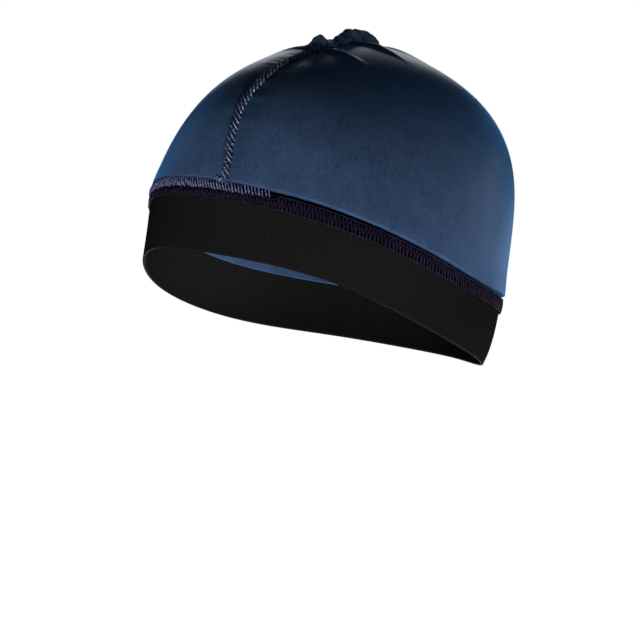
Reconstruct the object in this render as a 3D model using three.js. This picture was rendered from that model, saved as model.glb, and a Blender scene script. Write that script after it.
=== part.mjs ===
import {
  BufferGeometry,
  Float32BufferAttribute,
  Group,
  MathUtils,
  Mesh,
  MeshStandardMaterial,
  Vector3,
} from "three";

// Satin wave cap with a wide elastic band, in the shape that it takes when worn.
// Millimetres, +Z up, the front towards -Y, the wearer's left towards +X. The origin is on
// the axis of the head opening, at the level where the cap is widest.

// Form of the crown
const LENGTH = 184; // front to back at the widest level
const BREADTH = 158.2; // side to side at the widest level
const CROWN_HEIGHT = 91.4; // top of the crown above the widest level
const CROWN_SET_BACK = 9.6; // top of the crown behind the middle of the length

// Satin panels
const SATIN_WALL = 1.1;
const SATIN_PUFF = 0.6; // swell of the satin just above the band
const PUFF_REACH = 14; // height of that swell above the joint
const ROLL_REACH = 3.4; // height in which the satin edge rolls in to the band
const OVERLAP = 6.5; // satin tucked in behind the band

// Elastic band
const BAND_WIDTH = 33;
const BAND_WALL = 1.4;
const BAND_SINK = 0.9; // outer face of the band below the face of the crown
const STRIP_EDGE = 0.35; // bevel on the edges of the band and of its stitching

// Stitching over the joint
const STITCHING_WIDTH = 6.6;
const STITCHING_WALL = 0.8;

// Overlocked seam over the crown
const SEAM_WIDTH = 3.8;
const SEAM_HEIGHT = 2.1;
const SEAM_END = 0.6; // seam's ends above the stitching
const GATHER_RISE = 4.9; // height that the gather adds to the seam
const GATHER_SWAY = 2.2; // sideways lean of the gather
const GATHER_LENGTH = 70; // seam taken up by the gather
const SEAM_DRAW = 1.5; // depth to which the tight seam draws the satin in
const SEAM_DRAW_REACH = 8; // satin drawn in on each side of the seam
const SEAM_DRAW_FADE = 22; // height above the joint at which it is drawn in fully

// Folds that run out of the gather
const FOLD_HEIGHT = 1.5;
const FOLD_WIDTH = 5.2;
const FOLD_START = 0.15; // share of a fold's length in which it rises, each side of its start
const FOLD_FADE = 0.3; // share of a fold's length from which it dies away

// Between pieces
const CLEARANCE = 0.3;

// Grid
const STEPS_ROUND = 72;
const CROWN_ROWS = 15;
const BAND_ROWS = 5;
const SEAM_STEP = 2.6;
const SEAM_SIDES = 10;
const FALL_STEP = MathUtils.degToRad(1);
const FALL_END = MathUtils.degToRad(150);
const SLOPE_STEP = 0.01;

// Sections of the form, evenly spaced from the front (0) past the side (2) to the back (4).
// reach is a share of the half length and half breadth, joint a share of the crown height
// and band a share of the band width. shoulder fills or flattens the crown half-way down,
// lean moves that fullness up or down, and tuck does the same below the widest level.
const SECTIONS = [
  { reach: 0.929, shoulder: 0.1, lean: -0.094, tuck: 0.056, joint: 0.246, band: 0.95 },
  { reach: 0.98, shoulder: 0, lean: -0.015, tuck: 0.127, joint: 0.166, band: 0.92 },
  { reach: 1, shoulder: -0.01, lean: 0, tuck: 0.28, joint: -0.071, band: 1 },
  { reach: 1.048, shoulder: 0.059, lean: -0.051, tuck: 0.078, joint: -0.224, band: 1 },
  { reach: 1.071, shoulder: 0.034, lean: 0, tuck: 0.051, joint: -0.25, band: 1 },
];

// Gather of the seam at the crown. place is a share of the gather length, from the crown
// towards the back, rise a share of the gather's rise and sway a share of its sway.
const GATHER = [
  { place: -0.66, rise: 0, sway: 0 },
  { place: -0.55, rise: 0.25, sway: -0.4 },
  { place: -0.47, rise: 0.75, sway: 0.45 },
  { place: -0.4, rise: 0.2, sway: 0.2 },
  { place: -0.3, rise: 0, sway: -0.6 },
  { place: -0.23, rise: 0.42, sway: -0.4 },
  { place: -0.16, rise: 0.93, sway: 0.6 },
  { place: -0.11, rise: 0.68, sway: 0 },
  { place: -0.05, rise: 0.98, sway: -0.6 },
  { place: 0.04, rise: 0.97, sway: 0.4 },
  { place: 0.1, rise: 0.65, sway: 0.7 },
  { place: 0.17, rise: 0.22, sway: -0.3 },
  { place: 0.25, rise: 0.05, sway: 0.3 },
  { place: 0.34, rise: 0, sway: 0 },
];

// Folds in the satin beside the gather, from its seam outwards. across is a share of the
// half breadth towards the wearer's left and back a share of the half length towards the
// back, both in plan. width and height are shares of the fold width and fold height.
const FOLDS = [
  { across: [0.01, 0.42], back: [-0.16, -0.04], width: 1, height: 1 },
  { across: [0.02, 0.36], back: [-0.43, -0.38], width: 0.9, height: 0.9 },
  { across: [0.01, 0.34], back: [0.05, 0.22], width: 1, height: 0.7 },
  { across: [-0.01, -0.4], back: [-0.08, -0.1], width: 1, height: 0.9 },
  { across: [-0.02, -0.34], back: [-0.34, -0.42], width: 0.9, height: 0.7 },
  { across: [-0.01, -0.32], back: [0.08, 0.24], width: 1, height: 0.7 },
];

// Cosine curve through a column of the sections: smooth all round and alike on both sides
function curveThrough(column) {
  const last = SECTIONS.length - 1;
  const endShare = (index) => (index === 0 || index === last ? 0.5 : 1);
  const waves = SECTIONS.map((_, wave) => {
    let sum = 0;
    SECTIONS.forEach((section, index) => {
      sum += endShare(index) * section[column] * Math.cos((Math.PI * wave * index) / last);
    });
    return (2 * endShare(wave) * sum) / last;
  });
  return (turn) => waves.reduce((sum, size, wave) => sum + size * Math.cos(wave * turn), 0);
}

const reachAt = curveThrough("reach");
const shoulderAt = curveThrough("shoulder");
const leanAt = curveThrough("lean");
const tuckAt = curveThrough("tuck");
const jointAt = curveThrough("joint");
const bandAt = curveThrough("band");

// Point of the smooth form. turn goes round from the front, fall goes down from the crown.
function formPoint(turn, fall) {
  const bend = Math.sin(2 * fall) ** 2;
  const above = fall < Math.PI / 2;
  const fullness = above
    ? 1 + bend * (shoulderAt(turn) + leanAt(turn) * Math.cos(2 * fall))
    : 1 + bend * tuckAt(turn);
  const out = Math.sin(fall) * fullness * reachAt(turn);
  const height = Math.cos(fall) * (above ? fullness : 1);
  const setBack = above ? CROWN_SET_BACK * (1 - Math.sin(fall)) : 0;
  return new Vector3(
    (BREADTH / 2) * out * Math.sin(turn),
    setBack - (LENGTH / 2) * out * Math.cos(turn),
    CROWN_HEIGHT * height,
  );
}

// Distances down the form at one turn, and the distance at which the band's joint lies
const meridians = new Map();
function meridianAt(turn) {
  const key = turn.toFixed(6);
  if (!meridians.has(key)) meridians.set(key, measureMeridian(turn));
  return meridians.get(key);
}

function measureMeridian(turn) {
  const jointHeight = jointAt(turn) * CROWN_HEIGHT;
  const falls = [0];
  const distances = [0];
  let joint = 0;
  let before = formPoint(turn, 0);
  for (let fall = FALL_STEP; fall < FALL_END; fall += FALL_STEP) {
    const point = formPoint(turn, fall);
    const distance = distances.at(-1) + point.distanceTo(before);
    if (before.z >= jointHeight && point.z < jointHeight) {
      const share = (before.z - jointHeight) / (before.z - point.z);
      joint = MathUtils.lerp(distances.at(-1), distance, share);
    }
    falls.push(fall);
    distances.push(distance);
    before = point;
  }
  return { falls, distances, joint };
}

function fallAt(turn, distance) {
  const { falls, distances } = meridianAt(turn);
  const next = Math.max(1, distances.findIndex((value) => value >= distance));
  const share = (distance - distances[next - 1]) / (distances[next] - distances[next - 1]);
  return MathUtils.lerp(falls[next - 1], falls[next], share);
}

function normalAt(turn, fall) {
  const level = Math.max(fall, 2 * SLOPE_STEP);
  const round = formPoint(turn + SLOPE_STEP, level).sub(formPoint(turn - SLOPE_STEP, level));
  const down = formPoint(turn, level + SLOPE_STEP).sub(formPoint(turn, level - SLOPE_STEP));
  return down.cross(round).normalize();
}

// Height of the satin at a place of the crown: drawn in along the seam, raised in the folds
function foldHeightAt(point, above) {
  const across = point.x / (BREADTH / 2);
  const back = (point.y - CROWN_SET_BACK) / (LENGTH / 2);
  const drawn = MathUtils.smoothstep(above, 0, SEAM_DRAW_FADE);
  let height = -SEAM_DRAW * drawn * Math.exp(-((point.x / SEAM_DRAW_REACH) ** 2));
  for (const fold of FOLDS) {
    const runX = (fold.across[1] - fold.across[0]) * (BREADTH / 2);
    const runY = (fold.back[1] - fold.back[0]) * (LENGTH / 2);
    const length = Math.hypot(runX, runY);
    const x = (across - fold.across[0]) * (BREADTH / 2);
    const y = (back - fold.back[0]) * (LENGTH / 2);
    const along = (x * runX + y * runY) / length ** 2;
    const aside = (x * runY - y * runX) / length / (fold.width * FOLD_WIDTH);
    const started = MathUtils.smoothstep(along, -FOLD_START, FOLD_START);
    const ended = MathUtils.smoothstep(along, FOLD_FADE, 1);
    height += FOLD_HEIGHT * fold.height * started * (1 - ended) * Math.exp(-(aside ** 2));
  }
  return height;
}

// Point at a distance down the form, lifted off it along its normal
function liftedPoint(turn, distance, lift, folded = false) {
  const fall = fallAt(turn, distance);
  const point = formPoint(turn, fall);
  const fold = folded ? foldHeightAt(point, meridianAt(turn).joint - distance) : 0;
  return point.addScaledVector(normalAt(turn, fall), lift + fold);
}

// Height of the satin's outer face over the form, by its distance above the joint
const BEHIND_BAND = -(BAND_SINK + BAND_WALL + CLEARANCE);
function satinLift(above) {
  const swell = SATIN_PUFF * (1 - MathUtils.smoothstep(above, ROLL_REACH, PUFF_REACH));
  const rolled = MathUtils.smoothstep(above, CLEARANCE, ROLL_REACH);
  return MathUtils.lerp(BEHIND_BAND, swell, rolled);
}

// Closed body from rings of points. Each ring is a closed loop of as many points, the rings
// follow one another, and an open chain of rings ends in flat caps.
function ringBody(rings, closed) {
  const points = rings.flat();
  const size = rings[0].length;
  const faces = [];
  const spans = closed ? rings.length : rings.length - 1;
  for (let ring = 0; ring < spans; ring += 1) {
    const here = ring * size;
    const there = ((ring + 1) % rings.length) * size;
    for (let corner = 0; corner < size; corner += 1) {
      const next = (corner + 1) % size;
      faces.push(here + corner, there + next, there + corner);
      faces.push(here + corner, here + next, there + next);
    }
  }
  if (!closed) {
    const end = (rings.length - 1) * size;
    for (let corner = 1; corner < size - 1; corner += 1) {
      faces.push(0, corner + 1, corner);
      faces.push(end, end + corner, end + corner + 1);
    }
  }
  return bodyOf(points, faces);
}

function bodyOf(points, faces) {
  const geometry = new BufferGeometry();
  geometry.setAttribute("position", new Float32BufferAttribute(points.flatMap((p) => p.toArray()), 3));
  geometry.setIndex(faces);
  geometry.computeVertexNormals();
  return geometry;
}

// One satin panel: half of the crown, from the seam over the top down to behind the band
function satinPanel(side) {
  const rowAt = [];
  for (let row = 1; row <= CROWN_ROWS; row += 1) {
    rowAt.push((joint) => ((joint - ROLL_REACH) * row) / CROWN_ROWS);
  }
  rowAt.push((joint) => joint - (ROLL_REACH + CLEARANCE) / 2);
  rowAt.push((joint) => joint - CLEARANCE);
  rowAt.push((joint) => joint + OVERLAP);

  const place = (turn, distance, depth) => {
    const above = meridianAt(turn).joint - distance;
    return liftedPoint(side * turn, distance, satinLift(above) - depth, true);
  };
  const columns = STEPS_ROUND / 2;
  const points = [];
  const faces = [];
  for (const depth of [0, SATIN_WALL]) {
    points.push(place(0, 0, depth));
    for (let column = 0; column <= columns; column += 1) {
      const turn = (Math.PI * column) / columns;
      const { joint } = meridianAt(turn);
      for (const distanceAt of rowAt) points.push(place(turn, distanceAt(joint), depth));
    }
  }
  // The panel stops half a clearance short of the middle
  for (const point of points) point.x = side * Math.max(side * point.x, CLEARANCE / 2);

  const rows = rowAt.length;
  const layer = points.length / 2;
  const index = (depth, column, row) => depth * layer + (row < 0 ? 0 : 1 + column * rows + row);
  const face = (a, b, c) => (side > 0 ? faces.push(a, b, c) : faces.push(a, c, b));
  const quad = (a, b, c, d) => {
    face(a, b, c);
    face(a, c, d);
  };
  for (let column = 0; column < columns; column += 1) {
    face(index(0, 0, -1), index(0, column, 0), index(0, column + 1, 0));
    face(index(1, 0, -1), index(1, column + 1, 0), index(1, column, 0));
    for (let row = 0; row < rows - 1; row += 1) {
      quad(
        index(0, column, row),
        index(0, column, row + 1),
        index(0, column + 1, row + 1),
        index(0, column + 1, row),
      );
      quad(
        index(1, column, row),
        index(1, column + 1, row),
        index(1, column + 1, row + 1),
        index(1, column, row + 1),
      );
    }
    const end = rows - 1;
    quad(index(0, column, end), index(1, column, end), index(1, column + 1, end), index(0, column + 1, end));
  }
  for (let row = -1; row < rows - 1; row += 1) {
    quad(index(0, 0, row), index(1, 0, row), index(1, 0, row + 1), index(0, 0, row + 1));
    quad(
      index(0, columns, row),
      index(0, columns, row + 1),
      index(1, columns, row + 1),
      index(1, columns, row),
    );
  }
  return bodyOf(points, faces);
}

// A flat strip that goes all the way round and hangs down from the joint
function roundStrip(widthAt, outerLift, wall, rows) {
  const rings = [];
  for (let step = 0; step < STEPS_ROUND; step += 1) {
    const turn = (2 * Math.PI * step) / STEPS_ROUND;
    const { joint: start } = meridianAt(turn);
    const end = start + widthAt(turn);
    const face = [];
    const inside = [];
    for (let row = 0; row <= rows; row += 1) {
      const faceDistance = MathUtils.lerp(start + STRIP_EDGE, end - STRIP_EDGE, row / rows);
      face.push(liftedPoint(turn, faceDistance, outerLift));
      inside.push(liftedPoint(turn, MathUtils.lerp(end, start, row / rows), outerLift - wall));
    }
    const upperEdge = liftedPoint(turn, start, outerLift - STRIP_EDGE);
    const lowerEdge = liftedPoint(turn, end, outerLift - STRIP_EDGE);
    rings.push([upperEdge, ...face, lowerEdge, ...inside]);
  }
  return ringBody(rings, true);
}

function elasticBand() {
  return roundStrip((turn) => BAND_WIDTH * bandAt(turn), -BAND_SINK, BAND_WALL, BAND_ROWS);
}

function bandStitching() {
  const lift = CLEARANCE + STITCHING_WALL - BAND_SINK;
  return roundStrip(() => STITCHING_WIDTH, lift, STITCHING_WALL, 1);
}

// Value of a gather column at a distance from the crown, eased between the rows
function gatherAt(along, column) {
  const place = along / GATHER_LENGTH;
  const next = GATHER.findIndex((row) => row.place > place);
  if (next <= 0) return 0;
  const from = GATHER[next - 1];
  const to = GATHER[next];
  const share = MathUtils.smoothstep(place, from.place, to.place);
  return MathUtils.lerp(from[column], to[column], share);
}

// The overlocked ridge over the crown, front to back, with its gather
function crownSeam() {
  const front = -(meridianAt(0).joint - SEAM_END);
  const back = meridianAt(Math.PI).joint - SEAM_END;
  const steps = Math.round((back - front) / SEAM_STEP);
  const rings = [];
  for (let step = 0; step <= steps; step += 1) {
    const along = MathUtils.lerp(front, back, step / steps);
    const turn = along < 0 ? 0 : Math.PI;
    const distance = Math.abs(along);
    const fall = fallAt(turn, distance);
    const normal = normalAt(turn, fall);
    const above = meridianAt(turn).joint - distance;
    const middle = formPoint(turn, fall);
    const satinUnder = [-1, 0, 1].map((side) => {
      const edge = middle.clone().setX((side * SEAM_WIDTH) / 2);
      return satinLift(above) + foldHeightAt(edge, above);
    });
    const foot = liftedPoint(turn, distance, Math.max(...satinUnder) + CLEARANCE);
    const tall = SEAM_HEIGHT + GATHER_RISE * gatherAt(along, "rise");
    const sway = GATHER_SWAY * gatherAt(along, "sway");
    const ring = [];
    for (let corner = 0; corner < SEAM_SIDES; corner += 1) {
      const angle = (2 * Math.PI * (corner + 0.5)) / SEAM_SIDES;
      const rise = (1 - Math.cos(angle)) / 2;
      const point = foot.clone().addScaledVector(normal, tall * rise);
      point.x += sway * rise - (SEAM_WIDTH / 2) * Math.sin(angle);
      ring.push(point);
    }
    rings.push(ring);
  }
  return ringBody(rings, false);
}

function cloth(name, color, roughness) {
  return new MeshStandardMaterial({ name, color, roughness, metalness: 0 });
}

const satin = cloth("satin_knit", 0x2a4565, 0.38);
const overlock = cloth("overlock_thread", 0x2c3350, 0.7);
const elastic = cloth("woven_elastic", 0x161616, 0.85);
const thread = cloth("band_thread", 0x2b2540, 0.8);

function piece(name, geometry, material) {
  const mesh = new Mesh(geometry, material);
  mesh.name = name;
  return mesh;
}

const cap = new Group();
cap.name = "wave_cap";
cap.add(
  piece("crown_panel_left", satinPanel(1), satin),
  piece("crown_panel_right", satinPanel(-1), satin),
  piece("crown_seam", crownSeam(), overlock),
  piece("elastic_band", elasticBand(), elastic),
  piece("band_stitching", bandStitching(), thread),
);

export default cap;
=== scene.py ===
import math
import random

import bmesh
import bpy
from bpy.props import FloatProperty, FloatVectorProperty, PointerProperty
from bpy.types import Operator, Panel, PropertyGroup
from mathutils import Matrix, Vector


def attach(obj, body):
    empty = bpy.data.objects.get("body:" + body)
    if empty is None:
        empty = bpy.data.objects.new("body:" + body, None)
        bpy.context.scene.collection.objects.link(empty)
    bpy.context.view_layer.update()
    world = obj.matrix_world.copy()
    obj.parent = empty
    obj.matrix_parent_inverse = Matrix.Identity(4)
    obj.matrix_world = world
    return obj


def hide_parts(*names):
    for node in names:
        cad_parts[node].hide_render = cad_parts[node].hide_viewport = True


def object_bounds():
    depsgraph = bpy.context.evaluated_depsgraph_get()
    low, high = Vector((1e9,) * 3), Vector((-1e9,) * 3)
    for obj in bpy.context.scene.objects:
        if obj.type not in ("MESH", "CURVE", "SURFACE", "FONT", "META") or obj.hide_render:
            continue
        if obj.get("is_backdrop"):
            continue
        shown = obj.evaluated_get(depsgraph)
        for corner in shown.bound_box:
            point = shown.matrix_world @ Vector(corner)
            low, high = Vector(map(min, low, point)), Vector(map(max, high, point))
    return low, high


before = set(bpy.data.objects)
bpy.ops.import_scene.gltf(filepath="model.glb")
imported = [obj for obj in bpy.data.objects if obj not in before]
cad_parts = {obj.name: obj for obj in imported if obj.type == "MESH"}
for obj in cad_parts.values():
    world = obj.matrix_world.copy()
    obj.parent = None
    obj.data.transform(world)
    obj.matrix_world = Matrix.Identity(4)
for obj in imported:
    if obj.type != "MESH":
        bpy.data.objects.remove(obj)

bl_info = {
    "name": "Wave Cap",
    "version": (1, 0, 0),
    "blender": (4, 5, 0),
    "location": "3D View > Sidebar > Wave Cap",
    "description": "Satin wave cap with an elastic band, in the shape that it takes when worn",
    "category": "Add Mesh",
}

# Metres, +Z up, the front towards -Y, the wearer's left towards +X. The origin is on the
# axis of the head opening, at the level where the cap is widest.

CAD_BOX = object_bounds()
MM = 0.001
IMAGE_SIDE = 640  # pixels
SENSOR_SIDE = 36  # millimetres


def linear(hex_colour):
    """Linear red, green and blue of an sRGB colour such as #1a2b3c"""
    shares = [int(hex_colour[start:start + 2], 16) / 255 for start in (1, 3, 5)]
    return tuple(s / 12.92 if s <= 0.04045 else ((s + 0.055) / 1.055) ** 2.4 for s in shares)


# Sizes and colours


class FormSizes(PropertyGroup):
    """Form of the crown"""

    length: FloatProperty(
        name="Length", description="Front to back at the widest level", default=184 * MM, unit="LENGTH"
    )
    breadth: FloatProperty(
        name="Breadth", description="Side to side at the widest level", default=158.2 * MM, unit="LENGTH"
    )
    height: FloatProperty(
        name="Height", description="Crown above the widest level", default=91.4 * MM, unit="LENGTH"
    )
    set_back: FloatProperty(
        name="Set back", description="Top of the crown behind the middle", default=9.6 * MM, unit="LENGTH"
    )


class SatinSizes(PropertyGroup):
    """Satin panels"""

    wall: FloatProperty(
        name="Wall", description="Thickness of the satin", default=1.1 * MM, unit="LENGTH"
    )
    puff: FloatProperty(
        name="Puff", description="Swell just above the band", default=0.6 * MM, unit="LENGTH"
    )
    puff_reach: FloatProperty(
        name="Puff reach", description="Height of the swell above the joint", default=14 * MM, unit="LENGTH"
    )
    roll_reach: FloatProperty(
        name="Roll reach", description="Height in which the edge rolls in", default=2.1 * MM, unit="LENGTH"
    )
    overlap: FloatProperty(
        name="Overlap", description="Satin tucked in behind the band", default=6.5 * MM, unit="LENGTH"
    )
    seam_draw: FloatProperty(
        name="Seam draw", description="Depth of the groove along the seam", default=1.5 * MM, unit="LENGTH"
    )
    draw_reach: FloatProperty(
        name="Draw reach", description="Half width of that groove", default=8 * MM, unit="LENGTH"
    )
    draw_fade: FloatProperty(
        name="Draw fade", description="Height in which it fades", default=22 * MM, unit="LENGTH"
    )
    fold_height: FloatProperty(
        name="Fold height", description="Folds that run out of the gather", default=1.5 * MM, unit="LENGTH"
    )
    fold_width: FloatProperty(
        name="Fold width", description="Half width of those folds", default=5.2 * MM, unit="LENGTH"
    )
    pucker: FloatProperty(
        name="Pucker", description="Small pleats along the seam", default=0.22 * MM, unit="LENGTH"
    )
    pucker_pitch: FloatProperty(
        name="Pucker pitch", description="Spacing of the small pleats", default=5.5 * MM, unit="LENGTH"
    )
    colour: FloatVectorProperty(
        name="Colour", description="Navy of the satin", subtype="COLOR", default=linear("#31435f")
    )


class BandSizes(PropertyGroup):
    """Elastic band"""

    width: FloatProperty(
        name="Width", description="Width of the elastic", default=33 * MM, unit="LENGTH"
    )
    wall: FloatProperty(
        name="Wall", description="Thickness of the elastic", default=1.4 * MM, unit="LENGTH"
    )
    sink: FloatProperty(
        name="Sink", description="Face of the band below that of the crown", default=0.9 * MM, unit="LENGTH"
    )
    edge: FloatProperty(
        name="Edge", description="Rounding of the edges", default=0.25 * MM, unit="LENGTH"
    )
    colour: FloatVectorProperty(
        name="Colour", description="Black of the elastic", subtype="COLOR", default=linear("#151515")
    )


class SeamSizes(PropertyGroup):
    """Overlocked seam over the crown"""

    width: FloatProperty(
        name="Width", description="Width of the ridge", default=3.8 * MM, unit="LENGTH"
    )
    height: FloatProperty(
        name="Height", description="Height of the ridge", default=2.1 * MM, unit="LENGTH"
    )
    end: FloatProperty(
        name="End", description="Ends of the seam above the joint", default=0.6 * MM, unit="LENGTH"
    )
    gather_rise: FloatProperty(
        name="Gather rise", description="Height that the gather adds", default=4.9 * MM, unit="LENGTH"
    )
    gather_sway: FloatProperty(
        name="Gather sway", description="Sideways lean of the gather", default=2.2 * MM, unit="LENGTH"
    )
    gather_length: FloatProperty(
        name="Gather length", description="Seam taken up by the gather", default=70 * MM, unit="LENGTH"
    )
    thread: FloatProperty(
        name="Thread", description="Radius of the overlock thread", default=0.42 * MM, unit="LENGTH"
    )
    pitch: FloatProperty(
        name="Pitch", description="Spacing of the stitches", default=2.6 * MM, unit="LENGTH"
    )
    colour: FloatVectorProperty(
        name="Colour", description="Navy of the thread", subtype="COLOR", default=linear("#262f57")
    )
    pale: FloatVectorProperty(
        name="Pale colour", description="Tufts of the thread", subtype="COLOR", default=linear("#9499b8")
    )


class StitchingSizes(PropertyGroup):
    """Coverstitch over the joint of satin and elastic"""

    width: FloatProperty(
        name="Width", description="Width of the stitching", default=6.6 * MM, unit="LENGTH"
    )
    wall: FloatProperty(
        name="Wall", description="Thickness of the stitched strip", default=0.8 * MM, unit="LENGTH"
    )
    thread: FloatProperty(
        name="Thread", description="Radius of the thread", default=0.25 * MM, unit="LENGTH"
    )
    pitch: FloatProperty(
        name="Pitch", description="Spacing of the stitches", default=1.9 * MM, unit="LENGTH"
    )
    colour: FloatVectorProperty(
        name="Colour", description="Dark purple of the thread", subtype="COLOR", default=linear("#241d36")
    )
    pale: FloatVectorProperty(
        name="Pale colour", description="Thread over the satin", subtype="COLOR", default=linear("#6b7498")
    )


class StageSizes(PropertyGroup):
    """Camera and floor"""

    distance: FloatProperty(
        name="Distance", description="Camera to the cap", default=1500 * MM, unit="LENGTH"
    )
    azimuth: FloatProperty(
        name="Azimuth", description="Camera round the cap", default=math.radians(33.312), unit="ROTATION"
    )
    elevation: FloatProperty(
        name="Elevation", description="Camera above the level", default=math.radians(4.977), unit="ROTATION"
    )
    roll: FloatProperty(
        name="Roll", description="Tilt of the picture", default=math.radians(7.168), unit="ROTATION"
    )
    scale: FloatProperty(
        name="Scale", description="Pixels of the picture for each millimetre", default=2.165
    )
    aim_right: FloatProperty(
        name="Aim right", description="Origin right of the middle", default=2.14 * MM, unit="LENGTH"
    )
    aim_up: FloatProperty(
        name="Aim up", description="Origin above the middle", default=37.88 * MM, unit="LENGTH"
    )
    floor_drop: FloatProperty(
        name="Floor drop", description="Floor below the cap", default=260 * MM, unit="LENGTH"
    )


class WaveCapSizes(PropertyGroup):
    """All sizes and colours of the cap"""

    form: PointerProperty(name="Form", type=FormSizes)
    satin: PointerProperty(name="Satin", type=SatinSizes)
    band: PointerProperty(name="Band", type=BandSizes)
    seam: PointerProperty(name="Seam", type=SeamSizes)
    stitching: PointerProperty(name="Stitching", type=StitchingSizes)
    stage: PointerProperty(name="Stage", type=StageSizes)


# Form of the worn cap

CLEARANCE = 0.3 * MM
RIDGE_SET = 1.1 * MM  # foot of the seam's ridge below the highest satin beside it
GATHER_SPREAD = 0.6  # share by which the gather is broader than the seam
GATHERED_RISE = 0.3  # share of the gather's rise from which the seam is wholly bunched up
FALL_STEP = math.radians(1)
FALL_END = math.radians(150)
SLOPE_STEP = 0.01

# Sections of the form, evenly spaced from the front past the side to the back. reach is a
# share of the half length and half breadth, joint a share of the crown height and band a
# share of the band width. shoulder fills or flattens the crown half-way down, lean moves
# that fullness up or down, and tuck does the same below the widest level.
SECTIONS = (
    {"reach": 0.929, "shoulder": 0.1, "lean": -0.094, "tuck": 0.056, "joint": 0.246, "band": 0.95},
    {"reach": 0.98, "shoulder": 0, "lean": -0.015, "tuck": 0.127, "joint": 0.166, "band": 0.92},
    {"reach": 1, "shoulder": -0.01, "lean": 0, "tuck": 0.28, "joint": -0.071, "band": 1},
    {"reach": 1.048, "shoulder": 0.059, "lean": -0.051, "tuck": 0.078, "joint": -0.224, "band": 1},
    {"reach": 1.071, "shoulder": 0.034, "lean": 0, "tuck": 0.051, "joint": -0.25, "band": 1},
)

# Gather of the seam at the crown. place is a share of the gather length, from the crown
# towards the back, rise a share of the gather's rise and sway a share of its sway.
GATHER = (
    {"place": -0.68, "rise": 0, "sway": 0},
    {"place": -0.56, "rise": 0.4, "sway": -0.3},
    {"place": -0.48, "rise": 0.95, "sway": 0.1},
    {"place": -0.41, "rise": 0.25, "sway": 0.2},
    {"place": -0.3, "rise": 0, "sway": -0.6},
    {"place": -0.24, "rise": 0.5, "sway": -0.4},
    {"place": -0.175, "rise": 0.98, "sway": 0.1},
    {"place": -0.12, "rise": 0.62, "sway": 0},
    {"place": -0.06, "rise": 1, "sway": -0.3},
    {"place": 0.03, "rise": 0.97, "sway": 0.2},
    {"place": 0.085, "rise": 0.66, "sway": 0.25},
    {"place": 0.13, "rise": 0.38, "sway": 0.2},
    {"place": 0.18, "rise": 0.14, "sway": 0.1},
    {"place": 0.25, "rise": 0.02, "sway": 0},
    {"place": 0.34, "rise": 0, "sway": 0},
)

# Folds in the satin beside the gather, from its seam outwards. across is a share of the
# half breadth towards the wearer's left and back a share of the half length towards the
# back, both in plan. width and height are shares of the fold width and fold height.
FOLDS = (
    {"across": (0, 0.4), "back": (-0.11, -0.01), "width": 0.42, "height": 1.3},
    {"across": (0.03, 0.36), "back": (-0.385, -0.33), "width": 0.36, "height": 1.1},
    {"across": (0.01, 0.34), "back": (0.08, 0.25), "width": 0.6, "height": 0.8},
    {"across": (-0.01, -0.4), "back": (-0.08, -0.1), "width": 0.5, "height": 0.9},
    {"across": (-0.02, -0.34), "back": (-0.34, -0.42), "width": 0.45, "height": 0.7},
    {"across": (-0.01, -0.32), "back": (0.08, 0.24), "width": 0.6, "height": 0.7},
)
FOLD_START = 0.15  # share of a fold's length in which it rises, each side of its start
FOLD_FADE = 0.3  # share of a fold's length from which it dies away

# Wander of the front of the seam, by its height over the widest level: aside is towards the
# wearer's left. The satin close by goes with it.
WANDER = (
    {"height": 18 * MM, "aside": 2.2 * MM},
    {"height": 30 * MM, "aside": 1.3 * MM},
    {"height": 42 * MM, "aside": -0.6 * MM},
    {"height": 58 * MM, "aside": -2 * MM},
    {"height": 74 * MM, "aside": -0.8 * MM},
    {"height": 84 * MM, "aside": 0},
)
WANDER_REACH = 20 * MM  # distance to each side in which the satin's share of it fades


def smoothstep(value, low, high):
    share = min(1, max(0, (value - low) / (high - low)))
    return share * share * (3 - 2 * share)


def mix(low, high, share):
    return low + (high - low) * share


def curve_through(column):
    """Cosine curve through a column of the sections, alike on both sides"""
    last = len(SECTIONS) - 1
    end_share = [0.5 if index in (0, last) else 1 for index in range(last + 1)]
    waves = []
    for wave in range(last + 1):
        total = sum(
            end_share[index] * section[column] * math.cos(math.pi * wave * index / last)
            for index, section in enumerate(SECTIONS)
        )
        waves.append(2 * end_share[wave] * total / last)
    return lambda turn: sum(size * math.cos(wave * turn) for wave, size in enumerate(waves))


CURVES = {column: curve_through(column) for column in SECTIONS[0]}


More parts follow.
